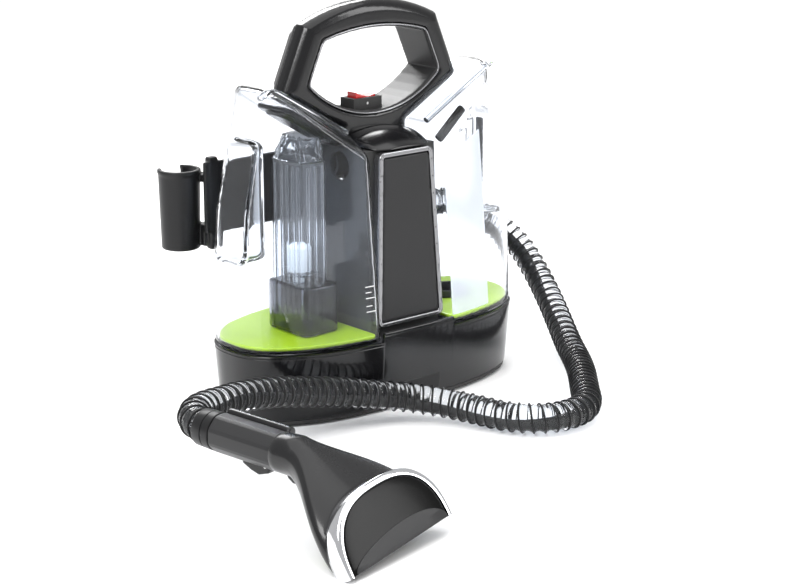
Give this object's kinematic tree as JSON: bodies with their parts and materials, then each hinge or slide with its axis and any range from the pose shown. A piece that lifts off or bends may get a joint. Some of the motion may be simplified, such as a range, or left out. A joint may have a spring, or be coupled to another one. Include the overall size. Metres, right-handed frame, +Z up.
{
  "type": "spot extractor",
  "caption": "Portable carpet spot cleaner: tub base, loop handle on a central column, two lift-off clear tanks, suction hose and wide hand tool.",
  "frame": {"origin": "on the floor under the middle of the tub base", "axes": "+Z up, front panel faces -Y, +X towards the clean water tank (the machine's left-to-right across the front)"},
  "size_m": [0.5549, 0.4572, 0.36],
  "materials": {
    "black_gloss": "polished moulded shell",
    "black_satin": "fine moulded grain",
    "charcoal": "soft satin panel",
    "bezel": "silver paint with a fine brushed look",
    "rubber": "matte",
    "steel": "zinc plated",
    "clear_tank": "clear moulded tank with a faint blue-grey tint",
    "clear_part": "clear ribbed moulding",
    "lime": "satin lime plastic",
    "red": "glossy rocker",
    "motor": "lacquered",
    "white": "natural plastic",
    "chrome": "bright band",
    "hose": "clear wall with a black spiral",
    "bristle": "nylon tufts"
  },
  "bodies": {
    "machine": {"base_shell": "black_gloss", "base_plate": "black_satin", "rubber_feet": "rubber", "base_screws": "steel", "base_deck": "black_satin", "access_cover": "black_satin", "column_front": "black_satin", "column_rear": "black_satin", "column_screws": "steel", "front_bezel": "bezel", "front_panel": "charcoal", "saddle_cover": "black_gloss", "handle_front": "black_gloss", "handle_rear": "black_gloss", "handle_liner": "black_satin", "switch_frame": "black_satin", "switch_pivot": "steel", "motor_shroud": "black_satin", "motor_can": "motor", "motor_mount": "rubber", "pump_body": "motor", "valve_seat": "black_satin", "solution_pipe": "clear_part", "air_duct": "black_satin", "suction_pipe": "black_satin", "cord_inlet": "black_satin", "cord_hook_fixed": "black_satin", "hose_port": "black_gloss", "tool_bracket": "black_satin", "bracket_screws": "steel", "suction_hose": "hose", "hose_cuff": "black_satin", "wand_grip": "black_satin", "wand_channel": "black_satin", "trigger_pin": "steel", "spray_valve": "black_satin", "pump_spring": "steel"},
    "dirty_tank": {"dirty_tank": "clear_tank", "dirty_floor": "lime", "separator_tower": "clear_part", "tower_funnel": "black_satin", "float_ring": "clear_part", "dirty_lid": "black_satin"},
    "tank_float": {"tank_float": "white"},
    "dirty_latch": {"dirty_latch": "black_satin"},
    "clean_tank": {"clean_tank": "clear_tank", "clean_floor": "lime"},
    "clean_latch": {"clean_latch": "black_satin"},
    "filler_cap": {"filler_cap": "black_satin"},
    "cap_valve": {"cap_valve": "white"},
    "power_switch": {"power_switch": "red"},
    "fan_rotor": {"fan_rotor": "steel"},
    "pump_piston": {"pump_piston": "steel"},
    "cord_hook": {"cord_hook_swivel": "black_satin"},
    "trigger": {"trigger": "black_satin"},
    "valve_stem": {"valve_stem": "steel"},
    "tool_head": {"tool_body": "black_satin", "tool_band": "chrome", "tool_window": "clear_part", "tool_brush": "bristle"}
  },
  "joints": [
    {"name": "dirty_tank_lift", "type": "slide", "parent": "machine", "child": "dirty_tank", "axis": [-0.866, 0, 0.5], "range_m": [0, 0.06]},
    {"name": "clean_tank_lift", "type": "slide", "parent": "machine", "child": "clean_tank", "axis": [0.866, 0, 0.5], "range_m": [0, 0.06]},
    {"name": "float_rise", "type": "slide", "parent": "dirty_tank", "child": "tank_float", "axis": [0, 0, 1], "range_m": [0, 0.05]},
    {"name": "dirty_latch_pull", "type": "slide", "parent": "dirty_tank", "child": "dirty_latch", "axis": [0, 0, 1], "range_m": [0, 0.005], "stiffness_N_per_m": 300},
    {"name": "clean_latch_pull", "type": "slide", "parent": "clean_tank", "child": "clean_latch", "axis": [0, 0, 1], "range_m": [0, 0.005], "stiffness_N_per_m": 300},
    {"name": "filler_cap_turn", "type": "hinge", "parent": "clean_tank", "child": "filler_cap", "pos_m": [0.1, 0, 0.06], "axis": [0, 0, 1], "range_deg": [0, 90]},
    {"name": "cap_valve_lift", "type": "slide", "parent": "filler_cap", "child": "cap_valve", "axis": [0, 0, 1], "range_m": [0, 0.004], "stiffness_N_per_m": 200},
    {"name": "power_rocker", "type": "hinge", "parent": "machine", "child": "power_switch", "pos_m": [0, 0.008, 0.265], "axis": [0, -1, 0], "range_deg": [0, 8]},
    {"name": "fan_spin", "type": "hinge", "parent": "machine", "child": "fan_rotor", "pos_m": [0, 0.008, 0.1], "axis": [0, 0, 1], "continuous": true},
    {"name": "pump_stroke", "type": "slide", "parent": "machine", "child": "pump_piston", "axis": [-1, 0, 0], "range_m": [0, 0.0015], "stiffness_N_per_m": 400},
    {"name": "cord_hook_swing", "type": "hinge", "parent": "machine", "child": "cord_hook", "pos_m": [0.022, 0.08, 0.208], "axis": [0, 1, 0], "range_deg": [0, 180]},
    {"name": "trigger_pull", "type": "hinge", "parent": "machine", "child": "trigger", "pos_m": [-0.26533, -0.19885, 0.04333], "axis": [0.9816, 0.1908, 0], "range_deg": [0, 7], "stiffness_Nm_per_rad": 0.5},
    {"name": "valve_press", "type": "slide", "parent": "machine", "child": "valve_stem", "axis": [0.0067, -0.0343, 0.9994], "range_m": [0, 0.00255]},
    {"name": "tool_head_pull", "type": "slide", "parent": "machine", "child": "tool_head", "axis": [0.1908, -0.9816, 0], "range_m": [0, 0.03]}
  ],
  "couplings": [
    {"joint": "trigger_pull", "follows": "valve_press", "rad_per_m": 47.6}
  ]
}
